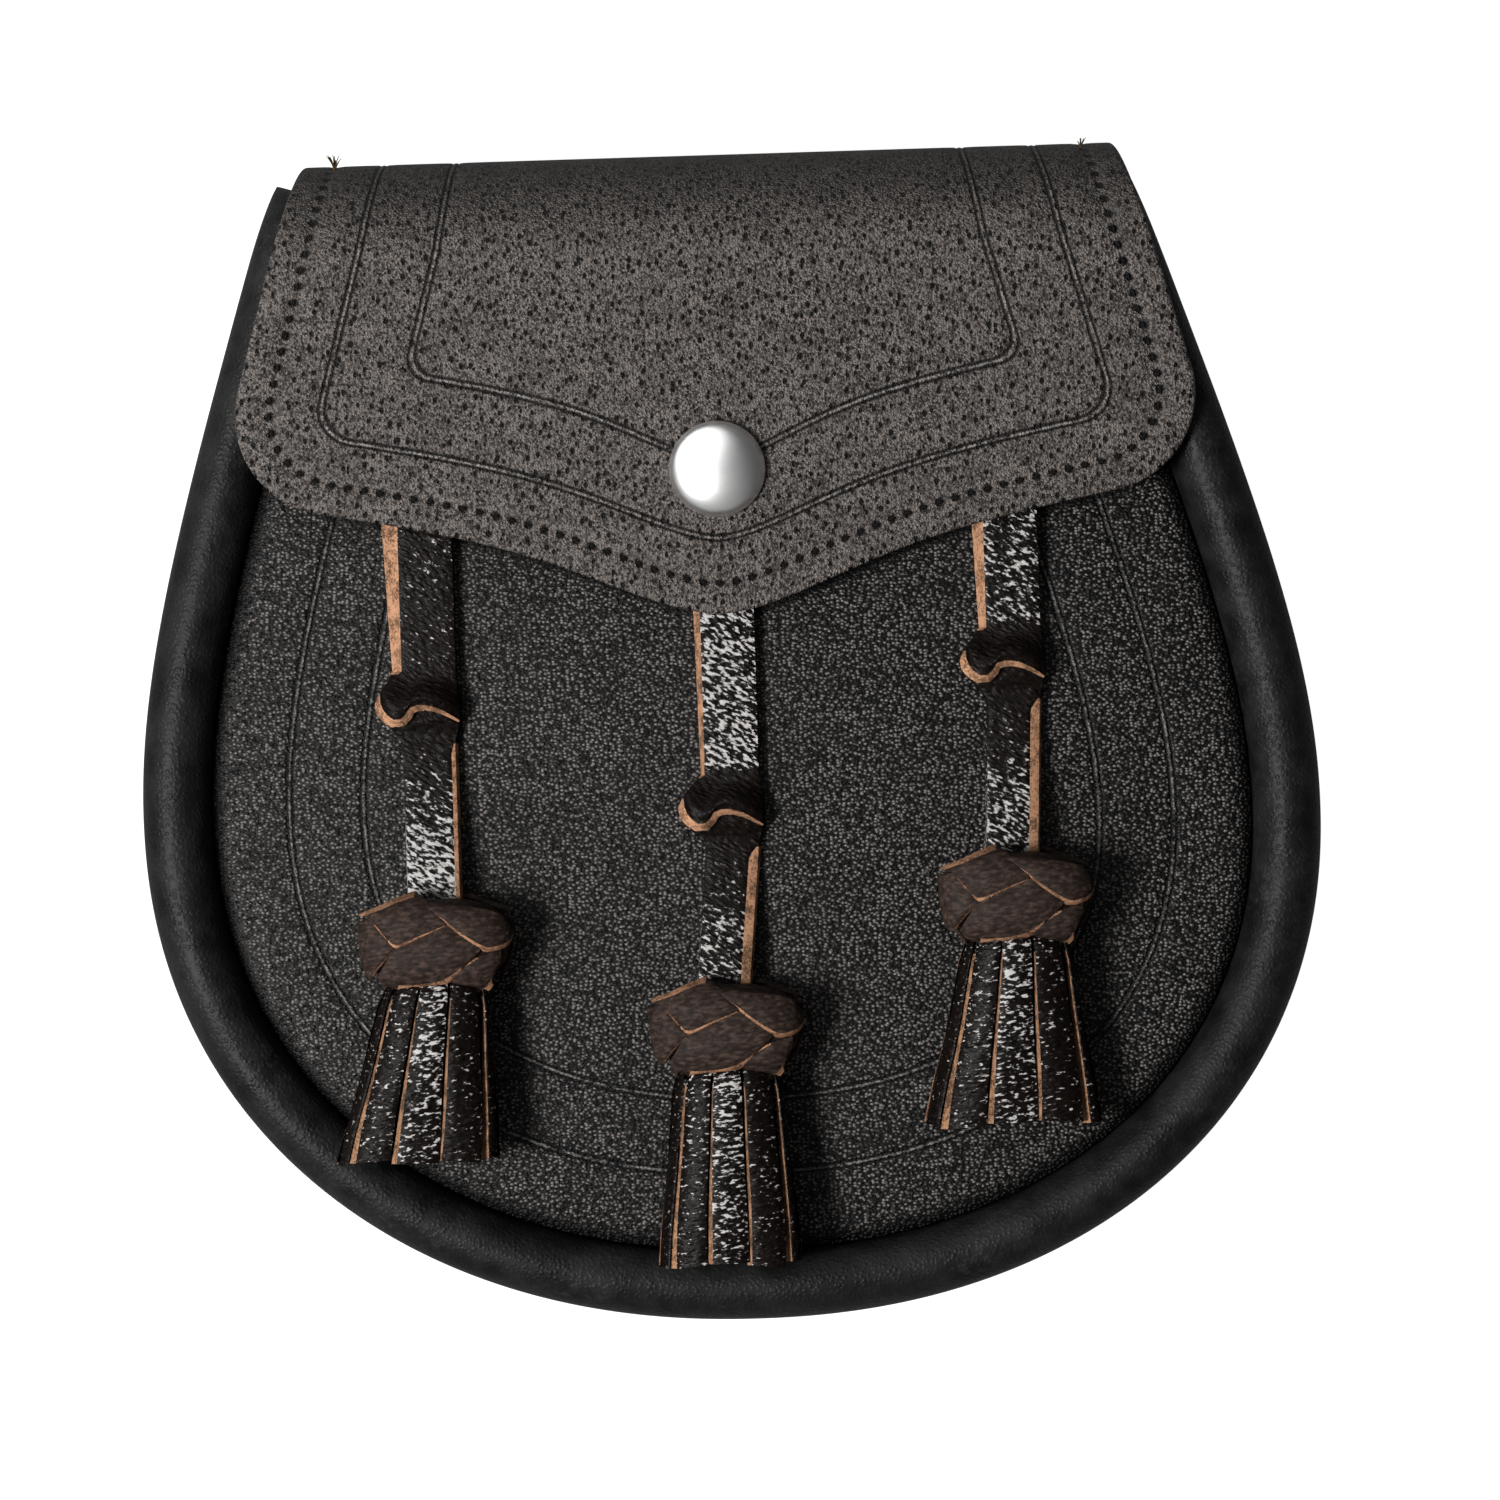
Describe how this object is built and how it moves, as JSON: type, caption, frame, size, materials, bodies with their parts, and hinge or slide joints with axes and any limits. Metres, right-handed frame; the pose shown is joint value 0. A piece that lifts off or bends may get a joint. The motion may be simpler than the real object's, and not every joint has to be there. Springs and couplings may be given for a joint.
{
  "type": "sporran pouch",
  "caption": "Leather day sporran: rounded pouch with rolled rims, folded flap with a press stud, and thong tassels with woven knots and cut fringes.",
  "frame": {"origin": "on the surface that it lies on, under the middle of its bounding box", "axes": "+X to the right as seen from the front, +Y to the fold of the flap, +Z out of the front"},
  "size_m": [0.18, 0.1792, 0.0506],
  "materials": {
    "gusset_leather": "smooth black nappa",
    "panel_leather": "fine pebble grain, black",
    "back_leather": "plain matt black",
    "flap_leather": "matt pored grain, charcoal",
    "snap_steel": "satin polished",
    "stud_steel": "plain",
    "thong_leather": "glossy dark brown with tan cut edges",
    "knot_leather": "satin dark brown with tan cut edges",
    "fringe_leather": "glossy wrinkled dark brown with tan cut edges"
  },
  "bodies": {
    "root": {"gusset": "gusset_leather", "front_panel": "panel_leather", "back_panel": "back_leather", "flap": "flap_leather", "snap_cap": "snap_steel", "snap_stud": "stud_steel", "belt_loop_left": "back_leather", "belt_loop_right": "back_leather", "tassel_strap_left": "thong_leather", "tassel_strap_centre": "thong_leather", "tassel_strap_right": "thong_leather", "tassel_knot_left": "knot_leather", "tassel_knot_centre": "knot_leather", "tassel_knot_right": "knot_leather", "tassel_fringe_left": "fringe_leather", "tassel_fringe_centre": "fringe_leather", "tassel_fringe_right": "fringe_leather"}
  },
  "joints": []
}
